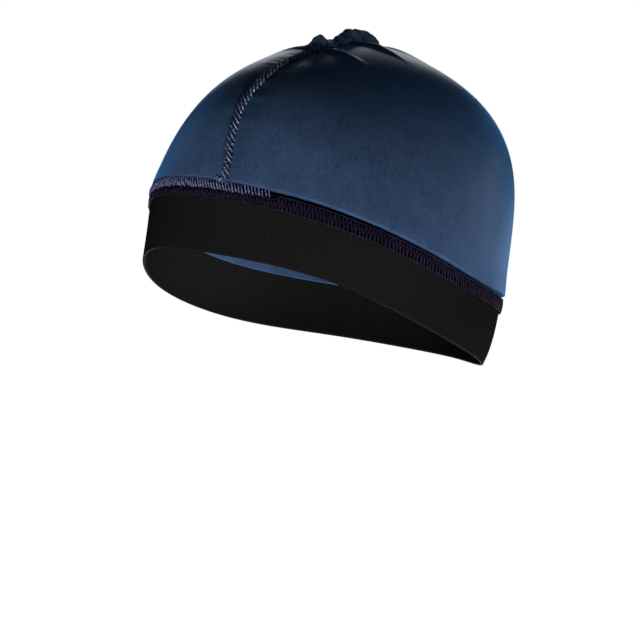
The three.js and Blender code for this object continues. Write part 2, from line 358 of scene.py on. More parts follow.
class WornForm:
    """The smooth form of the worn cap. turn goes round from the front, fall goes down from
    the crown, and a distance is measured down the form from the crown."""

    def __init__(self, cap):
        self.cap = cap
        self.curves = {}
        self.meridians = {}

    def curve(self, column, turn):
        key = (column, round(turn, 6))
        if key not in self.curves:
            self.curves[key] = CURVES[column](turn)
        return self.curves[key]

    def point(self, turn, fall):
        form = self.cap.form
        bend = math.sin(2 * fall) ** 2
        above = fall < math.pi / 2
        if above:
            lean = self.curve("lean", turn) * math.cos(2 * fall)
            fullness = 1 + bend * (self.curve("shoulder", turn) + lean)
        else:
            fullness = 1 + bend * self.curve("tuck", turn)
        out = math.sin(fall) * fullness * self.curve("reach", turn)
        height = math.cos(fall) * (fullness if above else 1)
        set_back = form.set_back * (1 - math.sin(fall)) if above else 0
        return Vector((
            form.breadth / 2 * out * math.sin(turn),
            set_back - form.length / 2 * out * math.cos(turn),
            form.height * height,
        ))

    def meridian(self, turn):
        key = round(turn, 6)
        if key not in self.meridians:
            self.meridians[key] = self.measure_meridian(turn)
        return self.meridians[key]

    def measure_meridian(self, turn):
        joint_height = self.curve("joint", turn) * self.cap.form.height
        falls = [0]
        distances = [0]
        joint = 0
        before = self.point(turn, 0)
        for step in range(1, int(FALL_END / FALL_STEP)):
            fall = step * FALL_STEP
            point = self.point(turn, fall)
            distance = distances[-1] + (point - before).length
            if before.z >= joint_height > point.z:
                share = (before.z - joint_height) / (before.z - point.z)
                joint = mix(distances[-1], distance, share)
            falls.append(fall)
            distances.append(distance)
            before = point
        return {"falls": falls, "distances": distances, "joint": joint}

    def joint(self, turn):
        """Distance at which the satin meets the band"""
        return self.meridian(turn)["joint"]

    def fall_at(self, turn, distance):
        meridian = self.meridian(turn)
        distances = meridian["distances"]
        low = 0
        high = len(distances) - 1
        while high - low > 1:
            middle = (low + high) // 2
            if distances[middle] < distance:
                low = middle
            else:
                high = middle
        share = (distance - distances[low]) / (distances[high] - distances[low])
        return mix(meridian["falls"][low], meridian["falls"][high], share)

    def normal(self, turn, fall):
        level = max(fall, 2 * SLOPE_STEP)
        round_step = self.point(turn + SLOPE_STEP, level) - self.point(turn - SLOPE_STEP, level)
        down_step = self.point(turn, level + SLOPE_STEP) - self.point(turn, level - SLOPE_STEP)
        return down_step.cross(round_step).normalized()

    def fold_height(self, point, above):
        """Height of the satin over the form: drawn in along the seam, raised in the folds"""
        form = self.cap.form
        satin = self.cap.satin
        drawn = smoothstep(above, 0, satin.draw_fade)
        height = -satin.seam_draw * drawn * math.exp(-((point.x / satin.draw_reach) ** 2))
        for fold in FOLDS:
            start = Vector((fold["across"][0] * form.breadth, fold["back"][0] * form.length)) / 2
            end = Vector((fold["across"][1] * form.breadth, fold["back"][1] * form.length)) / 2
            run = end - start
            reached = Vector((point.x, point.y - form.set_back)) - start
            along = reached.dot(run) / run.length_squared
            aside = reached.cross(run) / run.length / (fold["width"] * satin.fold_width)
            started = smoothstep(along, -FOLD_START, FOLD_START)
            ended = smoothstep(along, FOLD_FADE, 1)
            rise = satin.fold_height * fold["height"]
            height += rise * started * (1 - ended) * math.exp(-(aside ** 2))
        return height

    def lifted(self, turn, distance, lift, folded=False):
        """Point at a distance down the form, lifted off it along its normal"""
        fall = self.fall_at(turn, distance)
        point = self.point(turn, fall)
        if folded:
            lift += self.fold_height(point, self.joint(turn) - distance)
        return point + self.normal(turn, fall) * lift

    def wander(self, point):
        """The point, moved aside with the front of the seam"""
        if point.y > 0 or point.z > WANDER[-1]["height"]:
            return point
        after = next(index for index, row in enumerate(WANDER) if row["height"] >= point.z)
        before = max(after - 1, 0)
        low = WANDER[before]["height"]
        share = smoothstep(point.z, low, WANDER[after]["height"]) if after else 1
        aside = mix(WANDER[before]["aside"], WANDER[after]["aside"], share)
        point.x += aside * math.exp(-((point.x / WANDER_REACH) ** 2))
        return point

    def satin_lift(self, above):
        """Height of the satin's outer face over the form, by its distance above the joint"""
        satin = self.cap.satin
        band = self.cap.band
        behind_band = -(band.sink + band.wall + CLEARANCE)
        swell = satin.puff * (1 - smoothstep(above, satin.roll_reach, satin.puff_reach))
        return mix(behind_band, swell, smoothstep(above, CLEARANCE, satin.roll_reach))

    def gather(self, along, column):
        """Value of a gather column at a distance behind the crown"""
        place = along / self.cap.seam.gather_length
        if not GATHER[0]["place"] < place < GATHER[-1]["place"]:
            return 0
        after = next(index for index, row in enumerate(GATHER) if row["place"] > place)
        share = smoothstep(place, GATHER[after - 1]["place"], GATHER[after]["place"])
        return mix(GATHER[after - 1][column], GATHER[after][column], share)

    def bunched(self, along):
        """Share by which the seam is bunched up at a distance behind the crown"""
        return smoothstep(self.gather(along, "rise"), 0, GATHERED_RISE)

    def seam_ends(self):
        end = self.cap.seam.end
        return -(self.joint(0) - end), self.joint(math.pi) - end

    def seam_point(self, along, angle, inset=0):
        """Point on the seam's ridge, an angle round its section from the foot"""
        seam = self.cap.seam
        turn = 0 if along < 0 else math.pi
        distance = abs(along)
        fall = self.fall_at(turn, distance)
        middle = self.point(turn, fall)
        above = self.joint(turn) - distance
        edges = (Vector((side * seam.width / 2, middle.y, middle.z)) for side in (-1, 0, 1))
        under = max(self.satin_lift(above) + self.fold_height(edge, above) for edge in edges)
        tall = RIDGE_SET + seam.height + seam.gather_rise * self.gather(along, "rise") - 2 * inset
        rise = (1 - math.cos(angle)) / 2
        lift = under + CLEARANCE - RIDGE_SET + inset + tall * rise
        point = middle + self.normal(turn, fall) * lift
        point.x += seam.gather_sway * self.gather(along, "sway") * rise
        spread = 1 + GATHER_SPREAD * self.bunched(along)
        point.x += (seam.width / 2 - inset) * spread * math.sin(angle)
        return self.wander(point)


# Mesh making

MERGE_REACH = 0.01 * MM
THREAD_RESOLUTION = 1
THREAD_SET = 0.6  # middle of a thread off the face that it lies on, as a share of its radius
EDGE_SEGMENTS = 3
EDGE_ANGLE = math.radians(50)
X, Z = 0, 2  # places of the axes in a vector


def jitter(draws, reach):
    """Random shift, at most the reach to either side"""
    return draws.uniform(-reach, reach)


def round_share(share, steps):
    """Share of the way round, where the last of the steps is the first again"""
    return 0 if share > 1 - 0.5 / steps else share


def shaped_grid(columns, rows, place, pattern, closed=False):
    """Bmesh of a grid whose points are placed by their shares across and down it"""
    shape = bmesh.new()
    uv_layer = shape.loops.layers.uv.new("Cloth")
    bmesh.ops.create_grid(shape, x_segments=columns, y_segments=rows, size=0.5)
    shares = {vertex: (vertex.co.x + 0.5, 0.5 - vertex.co.y) for vertex in shape.verts}
    for face in shape.faces:
        for loop in face.loops:
            loop[uv_layer].uv = pattern(*shares[loop.vert])
    for vertex, (across, down) in shares.items():
        vertex.co = place(across, down)
    bmesh.ops.remove_doubles(shape, verts=shape.verts, dist=MERGE_REACH)
    if closed:
        rims = [edge for edge in shape.edges if edge.is_boundary]
        bmesh.ops.holes_fill(shape, edges=rims)
    bmesh.ops.recalc_face_normals(shape, faces=shape.faces)
    return shape


def face_outwards(shape, axis):
    """Turns the faces of an open sheet so that the furthest one along an axis faces out"""
    furthest = max(shape.faces, key=lambda face: face.calc_center_median()[axis])
    if furthest.normal[axis] < 0:
        bmesh.ops.reverse_faces(shape, faces=shape.faces)


def thread_mesh(name, paths, radius, cyclic=False):
    """Mesh of round threads that follow lists of points"""
    curve = bpy.data.curves.new(name, "CURVE")
    curve.dimensions = "3D"
    curve.bevel_depth = radius
    curve.bevel_resolution = THREAD_RESOLUTION
    curve.use_fill_caps = not cyclic
    for path in paths:
        spline = curve.splines.new("POLY")
        spline.points.add(len(path) - 1)
        for knot, point in zip(spline.points, path):
            knot.co = (*point, 1)
        spline.use_cyclic_u = cyclic
    carrier = bpy.data.objects.new(name, curve)
    mesh = bpy.data.meshes.new_from_object(carrier)
    bpy.data.objects.remove(carrier)
    bpy.data.curves.remove(curve)
    return mesh


def add_piece(name, mesh, material, slot, *nodes):
    """Object of a finished mesh, on the cap's body, in place of its nodes"""
    for polygon in mesh.polygons:
        polygon.use_smooth = True
    mesh.materials.append(material)
    piece = bpy.data.objects.new(name, mesh)
    bpy.context.scene.collection.objects.link(piece)
    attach(piece, "root")
    if nodes:
        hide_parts(*nodes)
    return piece


def give_wall(piece, thickness, edge=0):
    """Thickness behind the face of a sheet, with its edges rounded where a radius is given"""
    wall = piece.modifiers.new("Wall", "SOLIDIFY")
    wall.thickness = thickness
    wall.offset = -1
    if edge:
        rounding = piece.modifiers.new("Edges", "BEVEL")
        rounding.width = edge
        rounding.segments = EDGE_SEGMENTS
        rounding.limit_method = "ANGLE"
        rounding.angle_limit = EDGE_ANGLE


def mesh_from(shape, name):
    mesh = bpy.data.meshes.new(name)
    shape.to_mesh(mesh)
    shape.free()
    return mesh


# Materials

WAVE_SPACING = math.pi / 10  # a wave texture of scale 1 has a band this far apart
BLOOM = linear("#3a80c4")  # blue of the satin where it turns away
GLINT = linear("#6ea4e6")  # blue of its gloss
FLUFF = linear("#4487c8")  # blue of its raw edge where it is bunched up
# Painted light: between these depths below the crown, the seam's raw edge turns paler in place of light
# from above
PAINTED_LIGHT_FROM = 7 * MM  # depth below the crown at which the seam's raw edge starts to turn pale
PAINTED_LIGHT_TO = 2 * MM  # depth at which it has done so

# Two tones of a cloth: a position on its ramp, and a multiple of its colour
SATIN_TONES = ((0.36, 0.7), (0.64, 1.3))
ELASTIC_TONES = ((0.35, 0.75), (0.95, 1.7))
# The ridge's tones are painted shade, 0.3 of the navy between the stitches, and painted light, up to 4
# times it near the crown
RIDGE_PAINTED_SHADE_AND_LIGHT = ((0.62, 0.3), (1, 4))

# Finishes of the threads. deep and pale are multiples of their two colours, low and high say
# where the tufts of fibre turn from one to the other, and gloss is their specular level.
THREADS = {
    "overlock_thread": {"deep": 0.8, "pale": 1, "low": 0.43, "high": 0.66, "gloss": 0.3},
    # The stitching's ground is partly its own dark purple-black and partly painted shade: far darker than
    # its thread, for the gaps in the lace and the line under the satin's rolled edge
    "stitching_ground_painted_shade": {"deep": 0.05, "pale": 0.12, "low": 0.35, "high": 0.7, "gloss": 0.01},
    "lace_thread": {"deep": 0.3, "pale": 1.3, "low": 0.42, "high": 0.68, "gloss": 0.1},
    "pale_thread": {"deep": 1, "pale": 1, "low": 0.4, "high": 0.62, "gloss": 0.3},
}


def add_node(tree, kind, inputs=None, links=None, **settings):
    """Adds a node with its settings, the values of its inputs and the links into them"""
    node = tree.nodes.new(kind)
    for name, value in settings.items():
        setattr(node, name, value)
    for name, value in (inputs or {}).items():
        node.inputs[name].default_value = value
    for name, source in (links or {}).items():
        tree.links.new(source, node.inputs[name])
    return node


def new_material(name):
    material = bpy.data.materials.new(name)
    material.use_nodes = True
    material.node_tree.nodes.clear()
    return material, material.node_tree


def add_ramp(tree, factor, tones):
    """Ramp between two tones, each a position and a colour"""
    ramp = add_node(tree, "ShaderNodeValToRGB", links={"Fac": factor})
    for element, (position, colour) in zip(ramp.color_ramp.elements, tones):
        element.position = position
        element.color = (*colour, 1)
    return ramp


def tones_of(colour, tones):
    """Tones as positions and colours, from positions and multiples of a colour"""
    return [(position, Vector(colour) * multiple) for position, multiple in tones]


def add_noise(tree, size, detail, vector):
    """Noise in tufts or patches of about a size"""
    return add_node(
        tree, "ShaderNodeTexNoise", {"Scale": 1 / size, "Detail": detail}, {"Vector": vector}
    )


def finish_cloth(tree, colours, height, relief, values, links=None):
    """Bumps, shader and output of a cloth. relief is the strength and depth of its bumps."""
    strength, depth = relief
    bumps = add_node(
        tree, "ShaderNodeBump", {"Strength": strength, "Distance": depth}, {"Height": height}
    )
    sources = {"Base Color": colours.outputs["Color"], "Normal": bumps.outputs["Normal"]}
    shader = add_node(tree, "ShaderNodeBsdfPrincipled", values, {**sources, **(links or {})})
    add_node(tree, "ShaderNodeOutputMaterial", links={"Surface": shader.outputs["BSDF"]})


def knitted_satin(cap):
    """Nylon and spandex satin, warp knitted and pressed: a smooth face with a soft gloss
    and a faint grain of wales, and a blue bloom of light where it turns away"""
    material, tree = new_material("knitted_satin")
    cloth = add_node(tree, "ShaderNodeUVMap", uv_map="Cloth")
    # Wales of 0.4 mm and courses of 0.5 mm are too fine to show. Where their tension is
    # uneven they leave streaks, 0.9 mm broad and about four times as long.
    streaks = []
    for stretch in ((1, 0.25, 1), (0.25, 1, 1)):
        drawn = add_node(
            tree, "ShaderNodeVectorMath", {1: stretch}, {0: cloth.outputs["UV"]}, operation="MULTIPLY"
        )
        streaks.append(add_noise(tree, 0.9 * MM, 2, drawn.outputs["Vector"]))
    wales, courses = streaks
    grain = add_node(
        tree,
        "ShaderNodeMix",
        {"Factor": 0.5},
        {"A": wales.outputs["Fac"], "B": courses.outputs["Fac"]},
        data_type="FLOAT",
    )
    patches = add_noise(tree, 12 * MM, 2, cloth.outputs["UV"])
    tone = add_node(
        tree,
        "ShaderNodeMix",
        {"Factor": 0.25},
        {"A": grain.outputs["Result"], "B": patches.outputs["Fac"]},
        data_type="FLOAT",
    )
    colours = add_ramp(tree, tone.outputs["Result"], tones_of(cap.satin.colour, SATIN_TONES))
    gloss = add_node(
        tree,
        "ShaderNodeMapRange",
        {"To Min": 0.35, "To Max": 0.43},
        {"Value": tone.outputs["Result"]},
    )
    values = {
        "IOR": 1.53,
        "Specular IOR Level": 0.17,
        "Specular Tint": (*GLINT, 1),
        "Sheen Weight": 1,
        "Sheen Roughness": 0.35,
        "Sheen Tint": (*BLOOM, 1),
    }
    links = {"Roughness": gloss.outputs["Result"]}
    finish_cloth(tree, colours, grain.outputs["Result"], (0.35, 0.12 * MM), values, links)
    return material


def woven_elastic(cap):
    """Elastic woven of black polyester over rubber: matt, with fine ribs along its length
    and a few lighter fibres"""
    material, tree = new_material("woven_elastic")
    cloth = add_node(tree, "ShaderNodeUVMap", uv_map="Cloth")
    # Ribs of 0.7 mm and picks of 0.5 mm are drawn 1.3 mm and 1 mm apart, so that they show
    ribs = add_node(
        tree,
        "ShaderNodeTexWave",
        {"Scale": WAVE_SPACING / (1.3 * MM), "Distortion": 0.4, "Detail": 2, "Detail Scale": 4},
        {"Vector": cloth.outputs["UV"]},
        bands_direction="Y",
    )
    picks = add_node(
        tree,
        "ShaderNodeTexWave",
        {"Scale": WAVE_SPACING / (1 * MM), "Distortion": 1.5, "Detail": 2, "Detail Scale": 4},
        {"Vector": cloth.outputs["UV"]},
        bands_direction="X",
    )
    weave = add_node(
        tree,
        "ShaderNodeMath",
        links={0: ribs.outputs["Fac"], 1: picks.outputs["Fac"]},
        operation="MULTIPLY",
    )
    fibres = add_noise(tree, 1.2 * MM, 4, cloth.outputs["UV"])
    tone = add_node(
        tree,
        "ShaderNodeMath",
        {1: 0.3},
        {0: weave.outputs["Value"], 2: fibres.outputs["Fac"]},
        operation="MULTIPLY_ADD",
    )
    colours = add_ramp(tree, tone.outputs["Value"], tones_of(cap.band.colour, ELASTIC_TONES))
    values = {"IOR": 1.5, "Roughness": 0.9, "Specular IOR Level": 0.01}
    finish_cloth(tree, colours, tone.outputs["Value"], (0.5, 0.15 * MM), values)
    return material


def textured_thread(name, deep, pale):
    """Bulky polyester thread, spun and dyed: matt, uneven, and paler where fibres stand up"""
    finish = THREADS[name]
    material, tree = new_material(name)
    place = add_node(tree, "ShaderNodeTexCoord")
    # Tufts of fibre about 0.9 mm long
    fibres = add_noise(tree, 0.9 * MM, 3, place.outputs["Object"])
    tones = (
        (finish["low"], Vector(deep) * finish["deep"]),
        (finish["high"], Vector(pale) * finish["pale"]),
    )
    colours = add_ramp(tree, fibres.outputs["Fac"], tones)
    values = {"IOR": 1.5, "Roughness": 0.65, "Specular IOR Level": finish["gloss"]}
    finish_cloth(tree, colours, fibres.outputs["Fac"], (0.4, 0.1 * MM), values)
    return material


def ridge_painted_shade_and_light(cap):
    """Raw edge of the satin under the overlock. Painted shade darkens it between the stitches, and
    painted light turns it paler towards the crown, where the seam is gathered"""
    material, tree = new_material("ridge_painted_shade_and_light")
    place = add_node(tree, "ShaderNodeTexCoord")
    parts = add_node(tree, "ShaderNodeSeparateXYZ", links={"Vector": place.outputs["Object"]})
    # Painted light, by height alone: paler towards the top of the crown
    bunched = add_node(
        tree,
        "ShaderNodeMapRange",
        {"From Min": cap.form.height - PAINTED_LIGHT_FROM, "From Max": cap.form.height - PAINTED_LIGHT_TO},
        {"Value": parts.outputs["Z"]},
    )
    # Tufts of fibre about 2 mm long
    fibres = add_noise(tree, 2 * MM, 4, place.outputs["Object"])
    tone = add_node(
        tree,
        "ShaderNodeMath",
        {1: 0.35},
        {0: bunched.outputs["Result"], 2: fibres.outputs["Fac"]},
        operation="MULTIPLY_ADD",
    )
    # Painted shade where the tone is low, and painted light where the crown's height lifts it
    colours = add_ramp(tree, tone.outputs["Value"], tones_of(cap.satin.colour, RIDGE_PAINTED_SHADE_AND_LIGHT))
    values = {
        "IOR": 1.5,
        "Roughness": 0.6,
        "Specular IOR Level": 0.2,
        "Sheen Weight": 0.5,
        "Sheen Tint": (*FLUFF, 1),
    }
    finish_cloth(tree, colours, fibres.outputs["Fac"], (0.8, 0.5 * MM), values)
    return material


# Satin panels

PANEL_COLUMNS = 230
PANEL_ROWS = 190
ROLL_ROW = 0.86  # share of a panel's rows where the edge starts to roll in
TUCK_ROW = 0.95  # share of its rows where the joint lies
PUCKER_WAVES = 4
PUCKER_RATES = (0.6, 1.6)  # slowest and fastest of the waves that make up the small pleats
SEED = 7


def satin_distance(form, turn, down):
    """Distance down the form at a share of the panel's rows, which crowd in the rolled edge"""
    satin = form.cap.satin
    joint = form.joint(turn)
    if down < ROLL_ROW:
        return (joint - satin.roll_reach) * down / ROLL_ROW
    if down < TUCK_ROW:
        return joint - satin.roll_reach * (TUCK_ROW - down) / (TUCK_ROW - ROLL_ROW)
    return joint + satin.overlap * (down - TUCK_ROW) / (1 - TUCK_ROW)


def satin_panel(form, side):
    """Half of the crown. side is 1 on the wearer's left and -1 on the right."""
    satin = form.cap.satin
    draws = random.Random(SEED + side)
    waves = [
        (draws.uniform(*PUCKER_RATES), draws.uniform(0, 2 * math.pi)) for _ in range(PUCKER_WAVES)
    ]

    def pucker(point, above):
        near = math.exp(-((point.x / satin.draw_reach) ** 2))
        fade = smoothstep(above, 0, satin.draw_fade)
        along = 2 * math.pi * point.y / satin.pucker_pitch
        swing = sum(math.sin(along * rate + phase) for rate, phase in waves)
        return satin.pucker * near * fade * swing / 2

    def place(across, down):
        turn = math.pi * across
        distance = satin_distance(form, turn, down)
        above = form.joint(turn) - distance
        point = form.lifted(side * turn, distance, form.satin_lift(above), folded=True)
        if above > satin.roll_reach:
            point += form.normal(side * turn, form.fall_at(turn, distance)) * pucker(point, above)
        point.x = side * max(side * point.x, CLEARANCE / 2)
        return form.wander(point)

    def pattern(across, down):
        turn = math.pi * across
        distance = satin_distance(form, turn, down)
        return side * distance * math.sin(turn), -distance * math.cos(turn)

    shape = shaped_grid(PANEL_COLUMNS, PANEL_ROWS, place, pattern)
    face_outwards(shape, Z)
    return shape


class MakeSatinPanels(Operator):
    """Two halves of the crown in stretch satin"""

    bl_idname = "wave_cap.make_satin_panels"
    bl_label = "Make satin panels"

    def execute(self, context):
        cap = context.scene.wave_cap
        form = WornForm(cap)
        material = knitted_satin(cap)
        halves = (
            (1, "satin_left", "crown_panel_left"),
            (-1, "satin_right", "crown_panel_right"),
        )
        for side, name, node in halves:
            mesh = mesh_from(satin_panel(form, side), name)
            piece = add_piece(name, mesh, material, "satin_knit", node)
            give_wall(piece, cap.satin.wall)
        return {"FINISHED"}


# Elastic band

BAND_COLUMNS = 480
BAND_ROWS = 26


def joint_spans(form, columns):
    """Distances round the joint, from the front to each column of a strip"""
    spans = [0]
    before = form.lifted(0, form.joint(0), 0)
    for column in range(1, columns + 1):
        turn = 2 * math.pi * column / columns
        point = form.lifted(turn, form.joint(turn), 0)
        spans.append(spans[-1] + (point - before).length)
        before = point
    return spans


def round_strip(form, width_at, lift, columns, rows):
    """Strip that goes all the way round and hangs down from the joint"""
    spans = joint_spans(form, columns)

    def place(across, down):
        turn = 2 * math.pi * round_share(across, columns)
        return form.lifted(turn, form.joint(turn) + width_at(turn) * down, lift)

    def pattern(across, down):
        return spans[round(across * columns)], width_at(2 * math.pi * across) * down

    shape = shaped_grid(columns, rows, place, pattern)
    face_outwards(shape, X)
    return shape


class MakeElasticBand(Operator):
    """Wide black elastic all the way round"""

    bl_idname = "wave_cap.make_elastic_band"
    bl_label = "Make elastic band"

    def execute(self, context):
        cap = context.scene.wave_cap
        form = WornForm(cap)
        shape = round_strip(
            form,
            lambda turn: cap.band.width * form.curve("band", turn),
            -cap.band.sink,
            BAND_COLUMNS,
            BAND_ROWS,
        )
        mesh = mesh_from(shape, "elastic")
        piece = add_piece("elastic", mesh, woven_elastic(cap), "woven_elastic", "elastic_band")
        give_wall(piece, cap.band.wall, cap.band.edge)
        return {"FINISHED"}


# Seam over the crown

RIDGE_STEP = 0.6 * MM
RIDGE_SIDES = 20
RIDGE_INSET = 0.35 * MM  # depth of the raw edge below the stitches
WRAP_POINTS = 16
WRAP_LEAN = 0.7  # share of a stitch by which the thread runs on over the ridge, and back under it
WRAP_JITTER = 0.15
GATHER_SINK = 0.55 * MM  # depth by which the gather hides the thread
PLEAT_DEPTH = 0.25 * MM  # small creases over the gather
PLEAT_PITCH = 2.6 * MM
PLEAT_SKEW = 0.5
FOOT_THREADS = 6  # loose ends at the front foot of the seam
FOOT_POINTS = 5
FOOT_RISE = 4.5 * MM  # height of the first of them above the joint
FOOT_SHORTER = 0.6  # share by which the last of them is shorter
FOOT_REACH = 5.5 * MM  # width over which they are spread
FOOT_SLANT = 1.5 * MM
FOOT_JITTER = 0.8 * MM
FOOT_LIFT = 1.4  # their upper ends over the satin, in radii of the thread


class MakeCrownSeam(Operator):
    """Overlocked ridge over the crown, with its gather and its threads"""

    bl_idname = "wave_cap.make_crown_seam"
    bl_label = "Make crown seam"

    def execute(self, context):
        cap = context.scene.wave_cap
        form = WornForm(cap)
        front, back = form.seam_ends()

        def place(across, down):
            angle = 2 * math.pi * round_share(down, RIDGE_SIDES)
            along = mix(front, back, across)
            pleat = math.sin(2 * math.pi * along / PLEAT_PITCH + PLEAT_SKEW * math.sin(angle))
            inset = mix(RIDGE_INSET, PLEAT_DEPTH * (1 - pleat) / 2, form.bunched(along))
            return form.seam_point(along, angle, inset)

        def pattern(across, down):
            return mix(front, back, across), down * cap.seam.width * math.pi

        columns = round((back - front) / RIDGE_STEP)
        shape = shaped_grid(columns, RIDGE_SIDES, place, pattern, closed=True)
        mesh = mesh_from(shape, "seam_ridge")
        # Its colour holds painted shade between the stitches and painted light near the crown
        add_piece("seam_ridge", mesh, ridge_painted_shade_and_light(cap), "overlock_thread", "crown_seam")

        draws = random.Random(SEED)
        wrap = []
        for stitch in range(int((back - front) / cap.seam.pitch) - 1):
            lean = WRAP_LEAN + jitter(draws, WRAP_JITTER)
            for point in range(WRAP_POINTS):
                share = point / WRAP_POINTS
                angle = 2 * math.pi * share
                along = front + cap.seam.pitch * (stitch + 1 + share - lean * math.sin(angle))
                sunk = GATHER_SINK * form.bunched(along)
                wrap.append(form.seam_point(along, angle, cap.seam.thread * THREAD_SET + sunk))
        paths = [wrap, *self.foot_threads(form, draws)]
        mesh = thread_mesh("seam_threads", paths, cap.seam.thread)
        thread = textured_thread("overlock_thread", cap.seam.colour, cap.seam.pale)
        add_piece("seam_threads", mesh, thread, "overlock_thread")
        return {"FINISHED"}

    def foot_threads(self, form, draws):
        """Loose ends of the overlock at the front foot of the seam, drawn to one side"""
        paths = []
        for thread in range(FOOT_THREADS):
            share = thread / FOOT_THREADS
            top = FOOT_RISE * (1 - FOOT_SHORTER * share) + jitter(draws, FOOT_JITTER)
            path = []
            for knot in range(FOOT_POINTS):
                down = knot / (FOOT_POINTS - 1)
                aside = jitter(draws, FOOT_JITTER / 2) - FOOT_REACH * share - FOOT_SLANT * down
                turn = 2 * aside / form.cap.form.breadth
                above = mix(top, 0, down)
                lift = form.satin_lift(above) + form.cap.seam.thread * (FOOT_LIFT - down)
                point = form.lifted(turn, form.joint(turn) - above, lift, folded=True)
                path.append(form.wander(point))
            paths.append(path)
        return paths


# Stitching over the joint

STRIP_COLUMNS = 480
STRIP_ROWS = 8
STRIP_SINK = 0.45 * MM  # depth of its ground below the threads
STRIP_EDGE = 0.12 * MM
# The lace of dark threads, from its top to its end, as shares of the strip's width
LACE_TOP = 0.06
LACE_UNDER_ROW = 0.38  # its top where the pale row lies above it
LACE_END = 0.95
LACE_POINTS = 8
LACE_JITTER = 0.06
LACE_LEAN = 0.15  # share of a stitch by which its zigzag leans at most
ROW_FOOT = 0.38  # lower end of the pale row, as such a share
ROW_REACH = 1.1 * MM  # its upper end, over the rolled edge of the satin
ROW_RISE = 0.5 * MM
ROW_SLANT = 0.6  # share of a stitch by which its thread leans
ROW_THICKNESS = 1.4  # its thread, as a multiple of the lace's
ROW_TAPER = 13  # stitches in which it sinks under the satin at its end
# The rolled edge of the satin hides the pale row, apart from between these turns
ROW_TURNS = (math.radians(-80), math.radians(19))
ROW_FADE = math.radians(3)


def lace_top(share):
    """Top of the lace at a share of the way round: lower where the pale row lies above it"""
    turn = 2 * math.pi * (share if share < 0.5 else share - 1)
    started = smoothstep(turn, ROW_TURNS[0] - ROW_FADE, ROW_TURNS[0])
    ended = smoothstep(turn, ROW_TURNS[1], ROW_TURNS[1] + ROW_FADE)
    return mix(LACE_TOP, LACE_UNDER_ROW, started * (1 - ended))


def lace_end(share):
    """End of the lace, which is the same all the way round"""
    return LACE_END


class MakeJointStitching(Operator):
    """Coverstitch over the joint of satin and elastic: a strip, its lace and its pale row"""

    bl_idname = "wave_cap.make_joint_stitching"
    bl_label = "Make joint stitching"

    def execute(self, context):
        cap = context.scene.wave_cap
        form = WornForm(cap)
        stitching = cap.stitching
        ground_wall = stitching.wall - STRIP_SINK
        ground_lift = CLEARANCE + ground_wall - cap.band.sink
        shape = round_strip(
            form, lambda turn: stitching.width, ground_lift, STRIP_COLUMNS, STRIP_ROWS
        )
        # Its ground is painted shade as well as near-black thread
        ground = textured_thread("stitching_ground_painted_shade", stitching.colour, stitching.colour)
        mesh = mesh_from(shape, "stitch_strip")
        strip = add_piece("stitch_strip", mesh, ground, "band_thread", "band_stitching")
        give_wall(strip, ground_wall, STRIP_EDGE)

        stitches = round(joint_spans(form, STRIP_COLUMNS)[-1] / stitching.pitch)
        draws = random.Random(SEED)

        def at(share, down, extra=0):
            """Point for a thread, at shares round and down the strip"""
            turn = 2 * math.pi * share
            lift = ground_lift + stitching.thread * THREAD_SET + extra
            return form.lifted(turn, form.joint(turn) + stitching.width * down, lift)

        paths = [self.zigzag(stitches, draws, at, stitching.thread)]
        paths += [self.lace_edge(stitches, draws, at, line) for line in (lace_top, lace_end)]
        mesh = thread_mesh("stitch_lace", paths, stitching.thread, cyclic=True)
        lace = textured_thread("lace_thread", stitching.colour, stitching.colour)
        add_piece("stitch_lace", mesh, lace, "band_thread")

        paths = self.pale_row(stitches, draws, at, -ROW_REACH / stitching.width)
        mesh = thread_mesh("stitch_row", paths, stitching.thread * ROW_THICKNESS)
        pale = textured_thread("pale_thread", cap.seam.colour, stitching.pale)
        add_piece("stitch_row", mesh, pale, "band_thread")
        return {"FINISHED"}

    def zigzag(self, stitches, draws, at, hump_height):
        """Thread that runs up and down between the top and the end of the lace"""
        path = []
        for stitch in range(stitches):
            top = lace_top(stitch / stitches) + jitter(draws, LACE_JITTER)
            end = LACE_END + jitter(draws, LACE_JITTER)
            lean = jitter(draws, LACE_LEAN)
            for point in range(LACE_POINTS):
                share = point / LACE_POINTS
                swing = abs(2 * share - 1)
                hump = hump_height * math.sin(2 * math.pi * share)
                along = (stitch + share + lean * (1 - swing)) / stitches
                path.append(at(along, mix(end, top, swing), hump))
        return path

    def lace_edge(self, stitches, draws, at, line):
        """Thread along one edge of the lace, with two points for each stitch"""
        path = []
        for point in range(2 * stitches):
            share = point / (2 * stitches)
            path.append(at(share, line(share) + jitter(draws, LACE_JITTER / 2)))
        return path

    def pale_row(self, stitches, draws, at, head):
        """Slanting threads over the rolled edge of the satin, from their head to their foot"""
        first, last = (round(turn / (2 * math.pi) * stitches) for turn in ROW_TURNS)
        paths = []
        for stitch in range(first, last):
            sunk = 2 * ROW_RISE * max(0, 1 - (last - stitch) / ROW_TAPER)
            foot = ROW_FOOT + jitter(draws, LACE_JITTER)
            top = head + jitter(draws, LACE_JITTER)
            path = []
            for point in range(LACE_POINTS):
                share = point / (LACE_POINTS - 1)
                along = (stitch + share * ROW_SLANT) / stitches
                rise = ROW_RISE * (math.sin(math.pi * share) + 1 - share) - sunk
                path.append(at(along, mix(top, foot, share), rise))
            paths.append(path)
        return paths


# Stage

FLOOR_REACH = 40  # metres to each side
ROOM_LIGHT = 0.01
ROOM_TONES = ((0.08, (1, 1, 1)), (0.6, (0.02, 0.02, 0.025)))  # from the level upwards
SOFTBOX_DISTANCE = 1600 * MM
SOFTBOX_SIDE = 700 * MM

